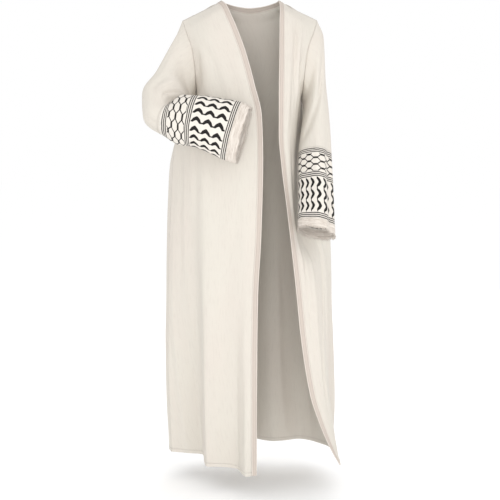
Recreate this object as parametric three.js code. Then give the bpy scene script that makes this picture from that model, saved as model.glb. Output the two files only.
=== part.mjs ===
// Open-front abaya cloak, worn form, empty. Millimetres, +Z up, the wearer faces -Y.
// The origin lies between the two neck-to-shoulder points, where the wearer carries the cloak.
// Right and left are the wearer's: right is -X, left is +X.
import * as THREE from "three";

// Driving sizes
const WALL = 2; // thickness of one layer of cloth, as a solid
const EDGING_WALL = 3; // thickness of the fringe edging
const SEAM_GAP = 0.3; // clear space between two pieces at a seam
const BAND_WIDTH = 17; // band down the front edges and round the back neck
const CUFF_BAND_LENGTH = { right: 218, left: 214 }; // patterned band, measured along the sleeve
const CUFF_EDGING_LENGTH = { right: 35, left: 31 }; // fringe edging beyond the band
const ARMHOLE_CLEARANCE = 1.4; // extra room where facets of sleeve and panels differ along the armhole
const SHOULDER_LEAN = 0.4; // sideways lean of the cloth's outward side along the shoulder seam
const UNDERARM_CLEARANCE = 3; // more room under the arm, where the sleeve lies against the body

// Number of facets
const DROP_ROWS = 25; // rows from shoulder to hem
const ROW_BUNCHING = 1.7; // rows lie closer together over the shoulder
const FRONT_STEPS = 2; // columns between two lines of a front
const BACK_STEPS = 2; // columns between two lines of the back
const RING_COLUMNS = 24; // columns round a sleeve
const SLEEVE_RINGS = 15; // rings from armhole to cuff band
const CUFF_BAND_RINGS = 6;
const CUFF_EDGING_RINGS = 2;
const NECK_BAND_ROWS = [0, 0.5, 0.96]; // shares of the way from the opening to the seam

// ---------------------------------------------------------------- lines down the cloth
// Each line is a list of [x, y, z] from the shoulder or neck down to the hem.

const RIGHT_FRONT_ARMHOLE = [
  [-205, 5, -60], [-194, -26, -95], [-174, -52, -150], [-165, -54, -220], [-163, -25, -275],
];
const RIGHT_BACK_ARMHOLE = [
  [-205, 5, -60], [-196, 36, -95], [-180, 58, -150], [-169, 60, -220], [-163, 36, -275],
];
const RIGHT_SIDE_SEAM = [
  [-165, 8, -305], [-203, 8, -380], [-234, 2, -450], [-243, 0, -570], [-250, 2, -705], [-257, 5, -926],
  [-259, 12, -1150], [-252, 26, -1417],
];
const LEFT_FRONT_ARMHOLE = [
  [205, 5, -60], [194, -26, -95], [174, -52, -150], [165, -54, -220], [160, -25, -275],
];
const LEFT_BACK_ARMHOLE = [
  [205, 5, -60], [196, 36, -95], [180, 58, -150], [168, 60, -220], [160, 36, -275],
];
const LEFT_SIDE_SEAM = [
  [157, 10, -305], [158, 10, -325], [165, 28, -380], [172, 36, -440], [184, 34, -511], [212, 16, -600],
  [236, 2, -735], [243, 4, -1010], [249, 4, -1270], [260, 4, -1375], [266, 6, -1420],
];

// Right front, from the opening towards the side seam
const RIGHT_FRONT_LINES = {
  opening: [
    [-86, 5, 0], [-73, -35, -14], [-58, -62, -45], [-42, -80, -82], [-12, -104, -163], [15, -122, -262],
    [35, -132, -350], [39, -138, -480], [34, -144, -700], [24, -150, -900],
    [21, -158, -1150], [20, -176, -1432],
  ],
  softRidge: [
    [-120, 5, -19], [-107, -55, -45], [-75, -98, -150], [-45, -120, -262],
    [-20, -132, -400], [-12, -138, -600],
    [-10, -146, -900], [-12, -160, -1100], [-12, -178, -1300], [-10, -196, -1430],
  ],
  softDip: [
    [-132, 5, -25], [-121, -55, -55], [-98, -95, -150], [-75, -117, -262],
    [-50, -128, -400], [-42, -132, -600],
    [-40, -134, -900], [-40, -134, -1100], [-38, -132, -1300], [-38, -126, -1428],
  ],
  midPanel: [
    [-147, 5, -32], [-138, -52, -65], [-120, -90, -150], [-106, -108, -262],
    [-98, -118, -400], [-92, -122, -600],
    [-90, -124, -900], [-88, -122, -1150], [-86, -116, -1424],
  ],
  mainRidge: [
    [-163, 5, -40], [-155, -48, -75], [-136, -84, -150], [-127, -100, -262], [-136, -108, -400],
    [-138, -110, -600], [-138, -114, -900], [-136, -118, -1150], [-132, -112, -1424],
  ],
  mainDip: [
    [-178, 5, -47], [-170, -43, -85], [-148, -76, -150], [-140, -88, -262], [-161, -86, -400],
    [-166, -80, -600], [-164, -62, -900], [-158, -30, -1150], [-152, 5, -1420],
  ],
  sidePanel: [
    [-192, 5, -54], [-182, -36, -92], [-156, -67, -160], [-149, -68, -262], [-191, -50, -400],
    [-208, -46, -600], [-212, -32, -900], [-208, -10, -1150], [-204, 16, -1418],
  ],
  side: [...RIGHT_FRONT_ARMHOLE, ...RIGHT_SIDE_SEAM],
};

// Left front, from the opening towards the side seam; it swings out and turns edge-on at the hem
const LEFT_FRONT_LINES = {
  opening: [
    [88, 5, 0], [90, -35, -20], [89, -62, -62], [87, -102, -186], [85, -122, -305], [85, -132, -393],
    [95, -138, -511], [107, -140, -600], [138, -140, -871], [154, -140, -1023], [182, -136, -1194],
    [207, -130, -1273], [233, -118, -1338], [259, -104, -1391], [280, -92, -1426],
  ],
  besideBand: [
    [120, 5, -19], [118, -50, -45], [122, -90, -150], [120, -108, -262],
    [113, -119, -393], [120, -124, -511],
    [127, -122, -600], [140, -126, -715], [159, -134, -800], [171, -136, -871], [187, -134, -1023],
    [213, -124, -1194], [236, -110, -1273], [255, -92, -1338], [271, -73, -1391], [281, -59, -1423],
  ],
  outerFold: [
    [142, 5, -30], [139, -46, -60], [133, -86, -150], [129, -99, -262], [127, -99, -393], [133, -92, -511],
    [136, -88, -620], [150, -84, -715], [182, -114, -800], [194, -123, -871], [214, -118, -1054],
    [238, -103, -1194], [251, -86, -1273], [267, -62, -1360], [278, -42, -1422],
  ],
  behindSleeve: [
    [163, 5, -40], [159, -42, -75], [145, -80, -150], [139, -88, -262], [140, -68, -393], [142, -44, -511],
    [156, -46, -620], [184, -58, -715], [209, -78, -800], [219, -84, -871],
    [231, -86, -1054], [243, -76, -1194],
    [255, -60, -1273], [267, -40, -1360], [273, -24, -1421],
  ],
  sidePanel: [
    [185, 5, -50], [179, -36, -90], [156, -69, -155], [149, -68, -262], [150, -16, -393], [158, 2, -511],
    [190, -14, -620], [219, -28, -715], [231, -38, -800], [236, -42, -871],
    [240, -42, -1054], [246, -38, -1194],
    [255, -30, -1273], [264, -20, -1360], [269, -10, -1420],
  ],
  side: [...LEFT_FRONT_ARMHOLE, ...LEFT_SIDE_SEAM],
};

// Back, from the right side seam round to the left one
const BACK_LINES = {
  rightSide: [...RIGHT_BACK_ARMHOLE, ...RIGHT_SIDE_SEAM],
  rightFlank: [
    [-181, 5, -48], [-176, 46, -84], [-164, 72, -150], [-161, 76, -262], [-224, 54, -400], [-252, 44, -520],
    [-261, 46, -705], [-268, 50, -926], [-272, 52, -1086], [-270, 58, -1215], [-262, 66, -1417],
  ],
  rightBlade: [
    [-150, 5, -34], [-146, 58, -64], [-136, 86, -150], [-138, 96, -262],
    [-188, 104, -420], [-216, 110, -600],
    [-226, 106, -900], [-232, 112, -1200], [-226, 118, -1417],
  ],
  rightNeck: [
    [-104, 5, -11], [-104, 58, -34], [-98, 92, -150], [-98, 106, -262],
    [-120, 124, -420], [-142, 144, -600],
    [-150, 156, -900], [-158, 172, -1200], [-156, 180, -1417],
  ],
  rightCentre: [
    [-78, 44, -18], [-68, 74, -56], [-56, 96, -150], [-52, 106, -262], [-56, 112, -420], [-68, 126, -600],
    [-74, 136, -900], [-80, 144, -1200], [-80, 146, -1417],
  ],
  centre: [
    [0, 68, -33], [0, 84, -70], [0, 97, -150], [0, 106, -262], [0, 124, -420], [0, 144, -600],
    [-4, 160, -900], [-6, 178, -1200], [-6, 186, -1417],
  ],
  leftCentre: [
    [80, 44, -18], [69, 74, -56], [56, 96, -150], [52, 106, -262], [54, 114, -420], [62, 128, -600],
    [68, 134, -900], [76, 142, -1200], [78, 148, -1417],
  ],
  leftNeck: [
    [106, 5, -11], [106, 58, -34], [98, 92, -150], [96, 106, -262], [104, 122, -420], [130, 142, -600],
    [146, 158, -900], [158, 170, -1200], [160, 174, -1417],
  ],
  leftBlade: [
    [150, 5, -34], [146, 58, -64], [136, 86, -150], [132, 94, -262], [146, 96, -420], [196, 100, -600],
    [222, 106, -900], [232, 114, -1200], [236, 116, -1417],
  ],
  leftFlank: [
    [181, 5, -48], [176, 46, -84], [166, 72, -150], [165, 77, -262], [182, 70, -400], [220, 54, -580],
    [252, 44, -700], [259, 46, -926], [267, 48, -1086], [271, 50, -1247], [266, 54, -1417],
  ],
  leftSide: [...LEFT_BACK_ARMHOLE, ...LEFT_SIDE_SEAM],
};

// Opening edge round the back of the neck, from the left neck point to the right one
const NECK_OPENING = [
  [88, 5, 0], [82, 24, -3], [64, 42, -8], [34, 55, -14], [0, 60, -17], [-34, 55, -14], [-64, 42, -8],
  [-81, 24, -3], [-86, 5, 0],
];

// ---------------------------------------------------------------- rings along the sleeves
// A ring's points are: at + over * cos(angle) + front * sin(angle). "over" points to the line that
// runs from the shoulder point over the outside of the arm, "front" to the front of the arm.

const RIGHT_SLEEVE_RINGS = [
  { at: [-200, -9, -212], over: [-26, -2, 101], front: [-3, -60, 2] },
  { at: [-236, -61, -260], over: [-46, 6, 40], front: [2, -55, 24] },
  { at: [-275, -110, -304], over: [-46, 11, 7], front: [-6, -46, 30] },
  { at: [-273, -136, -342], over: [-41, -8, -20], front: [-6, -46, 30] },
  { at: [-246, -155, -364], over: [-14, -20, -38], front: [-8, -45, 26] },
  { at: [-204, -172, -363], over: [-9, -11, -71], front: [-12, -43, 10] },
  { at: [-150, -193, -368], over: [-14, -5, -74], front: [-11, -38, 4] },
  { at: [-102, -208, -380], over: [-18, -4, -78], front: [-9, -33, 2] },
  { at: [-51, -222, -396], over: [-23, -2, -83], front: [-7, -28, 1] },
  { at: [-15, -232, -409], over: [-21, -2, -80], front: [-7, -27, 1] },
];
const LEFT_SLEEVE_RINGS = [
  { at: [193, 3, -211], over: [31, -3, 101], front: [0, -61, 0] },
  { at: [197, -12, -290], over: [34, -1, 44], front: [0, -67, 4] },
  { at: [198, -36, -357], over: [41, -3, 20], front: [0, -71, 15] },
  { at: [197, -64, -424], over: [47, 0, 3], front: [0, -71, 19] },
  { at: [195, -92, -487], over: [50, 1, -5], front: [0, -66, 24] },
  { at: [196, -126, -598], over: [52, 0, -6], front: [0, -63, 24] },
  { at: [197, -160, -700], over: [54, -2, -12], front: [0, -62, 21] },
];

// Folds of the sleeves: an angle (degrees) at each end of the run, the run as a share of the whole
// sleeve, the height (negative for a dip) and the half-breadth in degrees.
const RIGHT_SLEEVE_FOLDS = [
  { fromAngle: 60, toAngle: 100, from: 0.1, to: 0.5, height: -7, breadth: 16 },
  { fromAngle: 215, toAngle: 160, from: 0.3, to: 0.56, height: -9, breadth: 18 },
  { fromAngle: 70, toAngle: 84, from: 0.56, to: 1.1, height: 4, breadth: 14 },
];
const LEFT_SLEEVE_FOLDS = [
  { fromAngle: 22, toAngle: 150, from: 0.03, to: 0.52, height: -10, breadth: 15 },
  { fromAngle: 86, toAngle: 82, from: 0.4, to: 1.1, height: 8, breadth: 15 },
  { fromAngle: 125, toAngle: 120, from: 0.5, to: 1.1, height: -6, breadth: 20 },
  { fromAngle: 262, toAngle: 268, from: 0.3, to: 1.1, height: 5, breadth: 20 },
];

// ---------------------------------------------------------------- materials
const cream = new THREE.MeshStandardMaterial({ color: 0xebe4d9, roughness: 0.85, metalness: 0 });
const taupe = new THREE.MeshStandardMaterial({ color: 0xdbd1c5, roughness: 0.8, metalness: 0 });
const patterned = new THREE.MeshStandardMaterial({ color: 0x8d8680, roughness: 0.9, metalness: 0 });
const fringe = new THREE.MeshStandardMaterial({ color: 0xf0eae0, roughness: 0.92, metalness: 0 });

// ---------------------------------------------------------------- curves

const vec = (p) => new THREE.Vector3(p[0], p[1], p[2]);

// A smooth curve through points at given positions along it, that doesn't overshoot them
function smoothThrough(positions, points) {
  const last = positions.length - 1;
  const spans = positions.slice(1).map((position, i) => position - positions[i]);
  const slopes = points.slice(1).map((p, i) => p.clone().sub(points[i]).divideScalar(spans[i]));
  const tangents = points.map((_, i) => {
    const before = slopes[Math.max(i - 1, 0)];
    const after = slopes[Math.min(i, last - 1)];
    return new THREE.Vector3(...["x", "y", "z"].map((axis) => {
      const turns = before[axis] * after[axis] <= 0;
      return turns ? 0 : (2 * before[axis] * after[axis]) / (before[axis] + after[axis]);
    }));
  });
  return (position) => {
    const at = Math.min(Math.max(position, positions[0]), positions[last]);
    let span = 0;
    while (span < last - 1 && at > positions[span + 1]) {
      span += 1;
    }
    const length = positions[span + 1] - positions[span];
    const t = (at - positions[span]) / length;
    return points[span].clone().multiplyScalar((1 + 2 * t) * (1 - t) ** 2)
      .addScaledVector(tangents[span], length * t * (1 - t) ** 2)
      .addScaledVector(points[span + 1], t * t * (3 - 2 * t))
      .addScaledVector(tangents[span + 1], length * t * t * (t - 1));
  };
}

// How far along a row of points each one lies
function distancesAlong(points) {
  const distances = [0];
  points.slice(1).forEach((p, i) => distances.push(distances[i] + p.distanceTo(points[i])));
  return distances;
}

// A line down the cloth as a function of the share of its drop
function downLine(line) {
  const points = line.map(vec);
  const top = points[0].z;
  const hem = points[points.length - 1].z;
  const curve = smoothThrough(points.map((p) => top - p.z), points);
  return (share) => curve(share * (top - hem));
}

// ---------------------------------------------------------------- walls of cloth

// The outward side of each point of a grid of rows; a ring's rows are closed round
function gridNormals(grid, ring) {
  const rows = grid.length;
  const columns = grid[0].length;
  const direction = (from, at, to) => {
    return at.clone().sub(from).normalize().add(to.clone().sub(at).normalize());
  };
  return grid.map((row, r) => row.map((at, c) => {
    const above = grid[Math.max(r - 1, 0)][c];
    const below = grid[Math.min(r + 1, rows - 1)][c];
    const before = ring ? row[(c + columns - 1) % columns] : row[Math.max(c - 1, 0)];
    const after = ring ? row[(c + 1) % columns] : row[Math.min(c + 1, columns - 1)];
    return direction(above, at, below).cross(direction(before, at, after)).normalize();
  }));
}

// A closed wall: the grid moved out and in by half the thickness, joined round its edges
function wallGeometry(grid, normals, thickness, ring) {
  const rows = grid.length;
  const columns = grid[0].length;
  const around = ring ? columns : columns - 1;
  const positions = [];
  for (const side of [0.5, -0.5]) {
    grid.forEach((row, r) => row.forEach((point, c) => {
      positions.push(...point.clone().addScaledVector(normals[r][c], side * thickness).toArray());
    }));
  }
  const outer = (r, c) => r * columns + (c % columns);
  const inner = (r, c) => rows * columns + outer(r, c);
  const triangles = [];
  const quad = (a, b, c, d) => triangles.push(a, c, b, a, d, c);
  for (let r = 0; r < rows - 1; r += 1) {
    for (let c = 0; c < around; c += 1) {
      quad(outer(r, c), outer(r, c + 1), outer(r + 1, c + 1), outer(r + 1, c));
      quad(inner(r, c), inner(r + 1, c), inner(r + 1, c + 1), inner(r, c + 1));
    }
  }
  for (let c = 0; c < around; c += 1) {
    quad(outer(0, c), inner(0, c), inner(0, c + 1), outer(0, c + 1));
    quad(inner(rows - 1, c + 1), inner(rows - 1, c), outer(rows - 1, c), outer(rows - 1, c + 1));
  }
  if (!ring) {
    for (let r = 0; r < rows - 1; r += 1) {
      quad(outer(r + 1, 0), inner(r + 1, 0), inner(r, 0), outer(r, 0));
      const last = columns - 1;
      quad(inner(r, last), inner(r + 1, last), outer(r + 1, last), outer(r, last));
    }
  }
  const geometry = new THREE.BufferGeometry();
  geometry.setAttribute("position", new THREE.Float32BufferAttribute(positions, 3));
  geometry.setIndex(triangles);
  geometry.computeVertexNormals();
  return geometry;
}

function piece(name, geometry, material) {
  const mesh = new THREE.Mesh(geometry, material);
  mesh.name = name;
  return mesh;
}

// Move the points of one edge of a grid a distance back into the grid
function drawBack(grid, edge, distance) {
  const columns = grid[0].length;
  const pull = (point, next) => point.add(next.clone().sub(point).setLength(distance));
  if (edge === "top") {
    grid[0].forEach((point, c) => pull(point, grid[1][c]));
  } else if (edge === "bottom") {
    grid[grid.length - 1].forEach((point, c) => pull(point, grid[grid.length - 2][c]));
  } else if (edge === "first") {
    grid.forEach((row) => pull(row[0], row[1]));
  } else {
    grid.forEach((row) => pull(row[columns - 1], row[columns - 2]));
  }
}

// ---------------------------------------------------------------- body

const dropShares = Array.from({ length: DROP_ROWS + 1 }, (_, r) => (r / DROP_ROWS) ** ROW_BUNCHING);

// A grid over lines; the first span may be the front band, of one fixed width
function bodyGrid(lines, steps, banded) {
  const curves = Object.values(lines).map(downLine);
  return dropShares.map((share) => {
    const knots = curves.map((curve) => curve(share));
    if (banded) {
      const toSeam = knots[1].clone().sub(knots[0]).setLength(BAND_WIDTH);
      knots.splice(1, 0, knots[0].clone().add(toSeam));
    }
    const distances = distancesAlong(knots);
    const across = smoothThrough(distances, knots);
    const row = [knots[0]];
    for (let span = 1; span < knots.length; span += 1) {
      for (let step = 1; step <= steps; step += 1) {
        row.push(across(THREE.MathUtils.lerp(distances[span - 1], distances[span], step / steps)));
      }
    }
    return row;
  });
}

const cut = (grid, from, to) => grid.map((row) => row.slice(from, to).map((p) => p.clone()));

const rightFront = bodyGrid(RIGHT_FRONT_LINES, FRONT_STEPS, true).map((row) => row.reverse());
const leftFront = bodyGrid(LEFT_FRONT_LINES, FRONT_STEPS, true);
const back = bodyGrid(BACK_LINES, BACK_STEPS, false).map((row) => row.reverse());
const rightFrontNormals = gridNormals(rightFront, false);
const leftFrontNormals = gridNormals(leftFront, false);
const backNormals = gridNormals(back, false);

// Over the shoulder seam front and back share one upward direction
function shareShoulderDirection(points, normals) {
  points.forEach((point, i) => normals[i].set(Math.sign(point.x) * SHOULDER_LEAN, 0, 1).normalize());
}

// Along a side seam the two panels share one outward direction
function shareSeamDirection(normals, column, otherNormals, otherColumn, grid, underarm) {
  normals.forEach((row, r) => {
    if (grid[r][column].z <= underarm) {
      const shared = row[column].clone().add(otherNormals[r][otherColumn]).normalize();
      row[column].copy(shared);
      otherNormals[r][otherColumn].copy(shared);
    }
  });
}

const frontLast = rightFront[0].length - 1;
const leftFrontLast = leftFront[0].length - 1;
const backLast = back[0].length - 1;
const neckColumn = 3 * BACK_STEPS;
shareShoulderDirection(rightFront[0], rightFrontNormals[0]);
shareShoulderDirection(leftFront[0], leftFrontNormals[0]);
shareShoulderDirection(back[0].slice(0, neckColumn + 1), backNormals[0].slice(0, neckColumn + 1));
shareShoulderDirection(back[0].slice(-neckColumn - 1), backNormals[0].slice(-neckColumn - 1));
shareSeamDirection(rightFrontNormals, 0, backNormals, backLast, rightFront, RIGHT_SIDE_SEAM[0][2]);
shareSeamDirection(leftFrontNormals, leftFrontLast, backNormals, 0, leftFront, LEFT_SIDE_SEAM[0][2]);

function panel(name, grid, normals, from, to, material, edges) {
  const points = cut(grid, from, to);
  edges.forEach((edge) => drawBack(points, edge, SEAM_GAP / 2));
  const directions = normals.map((row) => row.slice(from, to));
  return piece(name, wallGeometry(points, directions, WALL, false), material);
}

function body() {
  const bandColumns = FRONT_STEPS + 1;
  return [
    panel("front_right", rightFront, rightFrontNormals, 0, frontLast - FRONT_STEPS + 1, cream,
      ["top", "first", "last"]),
    panel("trim_right", rightFront, rightFrontNormals, frontLast - FRONT_STEPS, frontLast + 1, taupe,
      ["top", "first"]),
    panel("front_left", leftFront, leftFrontNormals, FRONT_STEPS, leftFrontLast + 1, cream,
      ["top", "first", "last"]),
    panel("trim_left", leftFront, leftFrontNormals, 0, bandColumns, taupe, ["top", "last"]),
    panel("back", back, backNormals, 0, backLast + 1, cream, ["top", "first", "last"]),
  ];
}

// The band round the back of the neck lies between its opening edge and the top of the back
function neckBand() {
  const seam = back[0].slice(neckColumn, backLast - neckColumn + 1);
  const openingPoints = NECK_OPENING.map(vec);
  const distances = distancesAlong(openingPoints);
  const opening = smoothThrough(distances, openingPoints);
  const whole = distances[distances.length - 1];
  const grid = NECK_BAND_ROWS.map((share) => seam.map((point, c) => {
    return opening((whole * c) / (seam.length - 1)).lerp(point, share);
  }));
  drawBack(grid, "first", SEAM_GAP / 2);
  drawBack(grid, "last", SEAM_GAP / 2);
  const normals = gridNormals(grid, false);
  for (const column of [0, seam.length - 1]) {
    shareShoulderDirection(grid.map((row) => row[column]), normals.map((row) => row[column]));
  }
  return piece("trim_back_neck", wallGeometry(grid, normals, WALL, false), taupe);
}

// ---------------------------------------------------------------- sleeves

const FULL_TURN = 360;
const RADIANS = Math.PI / 180;

// The armhole as a ring: front half from the shoulder point to the underarm, back half home again
function armholeRing(frontLine, backLine, underarm, side) {
  const half = (line) => {
    const points = [...line, underarm].map(vec);
    const distances = distancesAlong(points);
    const curve = smoothThrough(distances, points);
    return (share) => curve(share * distances[distances.length - 1]);
  };
  const front = half(frontLine);
  const rear = half(backLine);
  return (angle) => {
    const turn = ((angle % FULL_TURN) + FULL_TURN) % FULL_TURN;
    const inFront = turn <= FULL_TURN / 2;
    const share = (inFront ? turn : FULL_TURN - turn) / (FULL_TURN / 2);
    const point = inFront ? front(share) : rear(share);
    const clear = SEAM_GAP + ARMHOLE_CLEARANCE + UNDERARM_CLEARANCE * share ** 3;
    return point.add(new THREE.Vector3(side * clear, 0, 0));
  };
}

// A sleeve's surface by angle (degrees) and by share of its length
function sleeveSurface(armhole, rings, folds) {
  const centres = [new THREE.Vector3(), ...rings.map((ring) => vec(ring.at))];
  for (const angle of [0, 90, 180, 270]) {
    centres[0].addScaledVector(armhole(angle), 0.25);
  }
  const distances = distancesAlong(centres);
  const length = distances[distances.length - 1];
  const centreLine = smoothThrough(distances, centres);
  const plain = (angle, share) => {
    const knots = [armhole(angle), ...rings.map((ring) => vec(ring.at)
      .addScaledVector(vec(ring.over), Math.cos(angle * RADIANS))
      .addScaledVector(vec(ring.front), Math.sin(angle * RADIANS)))];
    return smoothThrough(distances, knots)(share * length);
  };
  const surface = (angle, share) => {
    const point = plain(angle, share);
    const outward = point.clone().sub(centreLine(share * length)).normalize();
    for (const fold of folds) {
      const along = (share - fold.from) / (fold.to - fold.from);
      if (along > 0 && along < 1) {
        const middle = fold.fromAngle + (fold.toAngle - fold.fromAngle) * along;
        const off = (angle - middle) / fold.breadth;
        point.addScaledVector(outward, fold.height * Math.sin(along * Math.PI) * Math.exp(-off * off));
      }
    }
    return point;
  };
  return { surface, length };
}

// One grid of rings from armhole to mouth, cut into sleeve, patterned band and edging
function sleevePieces(sideName, side, armhole, rings, folds) {
  const { surface, length } = sleeveSurface(armhole, rings, folds);
  const edgingStart = 1 - CUFF_EDGING_LENGTH[sideName] / length;
  const bandStart = edgingStart - CUFF_BAND_LENGTH[sideName] / length;
  const stretch = (from, to, count) =>
    Array.from({ length: count }, (_, r) => from + ((to - from) * (r + 1)) / count);
  const shares = [
    0,
    ...stretch(0, bandStart, SLEEVE_RINGS),
    ...stretch(bandStart, edgingStart, CUFF_BAND_RINGS),
    ...stretch(edgingStart, 1, CUFF_EDGING_RINGS),
  ];
  const grid = shares.map((share) => Array.from({ length: RING_COLUMNS }, (_, c) => {
    return surface((side * -FULL_TURN * c) / RING_COLUMNS + FULL_TURN, share);
  }));
  const normals = gridNormals(grid, true);
  const make = (name, from, to, edges, thickness, material) => {
    const points = cut(grid.slice(from, to + 1), 0, RING_COLUMNS);
    edges.forEach((edge) => drawBack(points, edge, SEAM_GAP / 2));
    const geometry = wallGeometry(points, normals.slice(from, to + 1), thickness, true);
    return piece(`${name}_${sideName}`, geometry, material);
  };
  const bandRow = SLEEVE_RINGS;
  const edgingRow = bandRow + CUFF_BAND_RINGS;
  return [
    make("sleeve", 0, bandRow, ["bottom"], WALL, cream),
    make("cuff_band", bandRow, edgingRow, ["top", "bottom"], WALL, patterned),
    make("cuff_edging", edgingRow, shares.length - 1, ["top"], EDGING_WALL, fringe),
  ];
}

const rightArmhole = armholeRing(RIGHT_FRONT_ARMHOLE, RIGHT_BACK_ARMHOLE, RIGHT_SIDE_SEAM[0], -1);
const leftArmhole = armholeRing(LEFT_FRONT_ARMHOLE, LEFT_BACK_ARMHOLE, LEFT_SIDE_SEAM[0], 1);

const abaya = new THREE.Group();
abaya.add(
  ...body(),
  neckBand(),
  ...sleevePieces("right", -1, rightArmhole, RIGHT_SLEEVE_RINGS, RIGHT_SLEEVE_FOLDS),
  ...sleevePieces("left", 1, leftArmhole, LEFT_SLEEVE_RINGS, LEFT_SLEEVE_FOLDS),
);
export default abaya;
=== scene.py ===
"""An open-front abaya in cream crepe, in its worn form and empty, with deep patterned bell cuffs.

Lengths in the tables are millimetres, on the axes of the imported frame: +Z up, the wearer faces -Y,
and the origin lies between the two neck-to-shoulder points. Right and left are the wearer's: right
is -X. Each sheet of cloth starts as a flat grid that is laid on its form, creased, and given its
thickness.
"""

import logging
import math
import random
from dataclasses import dataclass
from enum import Enum
from typing import Any, Mapping, Sequence

import bmesh
import bpy
import numpy as np
from mathutils import Matrix, Vector

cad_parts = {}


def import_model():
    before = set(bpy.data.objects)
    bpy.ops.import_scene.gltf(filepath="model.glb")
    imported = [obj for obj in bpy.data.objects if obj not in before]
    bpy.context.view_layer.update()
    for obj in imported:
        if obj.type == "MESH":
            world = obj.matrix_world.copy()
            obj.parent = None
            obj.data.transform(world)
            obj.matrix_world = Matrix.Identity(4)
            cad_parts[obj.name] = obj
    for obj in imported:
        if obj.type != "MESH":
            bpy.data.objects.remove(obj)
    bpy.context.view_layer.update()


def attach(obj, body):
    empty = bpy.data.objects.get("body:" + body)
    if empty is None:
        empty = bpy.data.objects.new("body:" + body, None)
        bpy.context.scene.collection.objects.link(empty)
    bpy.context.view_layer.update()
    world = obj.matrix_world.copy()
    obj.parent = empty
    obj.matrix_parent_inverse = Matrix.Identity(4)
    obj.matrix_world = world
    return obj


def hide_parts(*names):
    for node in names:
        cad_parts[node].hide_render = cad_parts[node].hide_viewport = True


Triple = tuple[float, float, float]
Line = Sequence[Triple]

MM = 0.001
SEAM_GAP = 0.3  # clear space between two pieces at a seam
BAND_WIDTH = 17.0  # the band down the front edges and round the back of the neck
HEM_DEPTH = 11.0  # the turned hem, up to its stitches
UNDERARM_CLEARANCE = 1.6  # more room under the arm, where the sleeve lies against the body
CUFF_GIRTH = 372.0  # cloth coordinates round a sleeve
CLOTH_UV = "cloth"

log = logging.getLogger("abaya")


class Side(Enum):
    """The wearer's side, as the sign of its X."""

    RIGHT = -1
    LEFT = 1


class Slot(Enum):
    """The record's material slots."""

    CREPE = "cream_crepe"
    BAND = "front_band"
    CUFF = "patterned_cuff"
    FRINGE = "fringe_edging"


# ------------------------------------------------------------------ lines down the cloth

RIGHT_FRONT_ARMHOLE: Line = (
    (-205, 5, -60), (-194, -26, -95), (-174, -52, -150), (-165, -54, -220), (-163, -25, -275),
)
RIGHT_BACK_ARMHOLE: Line = (
    (-205, 5, -60), (-196, 36, -95), (-180, 58, -150), (-169, 60, -220), (-163, 36, -275),
)
RIGHT_SIDE_SEAM: Line = (
    (-165, 8, -305), (-203, 8, -380), (-234, 2, -450), (-243, 0, -570), (-250, 2, -705), (-257, 5, -926),
    (-259, 12, -1150), (-252, 26, -1417),
)
LEFT_FRONT_ARMHOLE: Line = (
    (205, 5, -60), (194, -26, -95), (174, -52, -150), (165, -54, -220), (160, -25, -275),
)
LEFT_BACK_ARMHOLE: Line = (
    (205, 5, -60), (196, 36, -95), (180, 58, -150), (168, 60, -220), (160, 36, -275),
)
LEFT_SIDE_SEAM: Line = (
    (157, 10, -305), (158, 10, -325), (165, 28, -380), (172, 36, -440), (184, 34, -511), (212, 16, -600),
    (236, 2, -735), (243, 4, -1010), (249, 4, -1270), (260, 4, -1375), (266, 6, -1420),
)
RIGHT_FRONT_LINES: Mapping[str, Line] = {
    "opening": (
        (-86, 5, 0), (-73, -35, -14), (-58, -62, -45), (-42, -80, -82), (-12, -104, -163),
        (15, -122, -262), (35, -132, -350), (39, -138, -480), (34, -144, -700), (24, -150, -900),
        (21, -158, -1150), (20, -176, -1432),
    ),
    "soft_ridge": (
        (-120, 5, -19), (-107, -55, -45), (-75, -98, -150), (-45, -120, -262), (-20, -132, -400),
        (-12, -138, -600), (-10, -146, -900), (-12, -160, -1100), (-12, -178, -1300), (-10, -196, -1430),
    ),
    "soft_dip": (
        (-132, 5, -25), (-121, -55, -55), (-98, -95, -150), (-75, -117, -262), (-50, -128, -400),
        (-42, -132, -600), (-40, -134, -900), (-40, -134, -1100), (-38, -132, -1300), (-38, -126, -1428),
    ),
    "mid_panel": (
        (-147, 5, -32), (-138, -52, -65), (-120, -90, -150), (-106, -108, -262), (-98, -118, -400),
        (-92, -122, -600), (-90, -124, -900), (-88, -122, -1150), (-86, -116, -1424),
    ),
    "main_ridge": (
        (-163, 5, -40), (-155, -48, -75), (-136, -84, -150), (-127, -100, -262), (-136, -108, -400),
        (-138, -110, -600), (-138, -114, -900), (-136, -118, -1150), (-132, -112, -1424),
    ),
    "main_dip": (
        (-178, 5, -47), (-170, -43, -85), (-148, -76, -150), (-140, -88, -262), (-161, -86, -400),
        (-166, -80, -600), (-164, -62, -900), (-158, -30, -1150), (-152, 5, -1420),
    ),
    "side_panel": (
        (-192, 5, -54), (-182, -36, -92), (-156, -67, -160), (-149, -68, -262), (-191, -50, -400),
        (-208, -46, -600), (-212, -32, -900), (-208, -10, -1150), (-204, 16, -1418),
    ),
    "side": RIGHT_FRONT_ARMHOLE + RIGHT_SIDE_SEAM,
}
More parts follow.
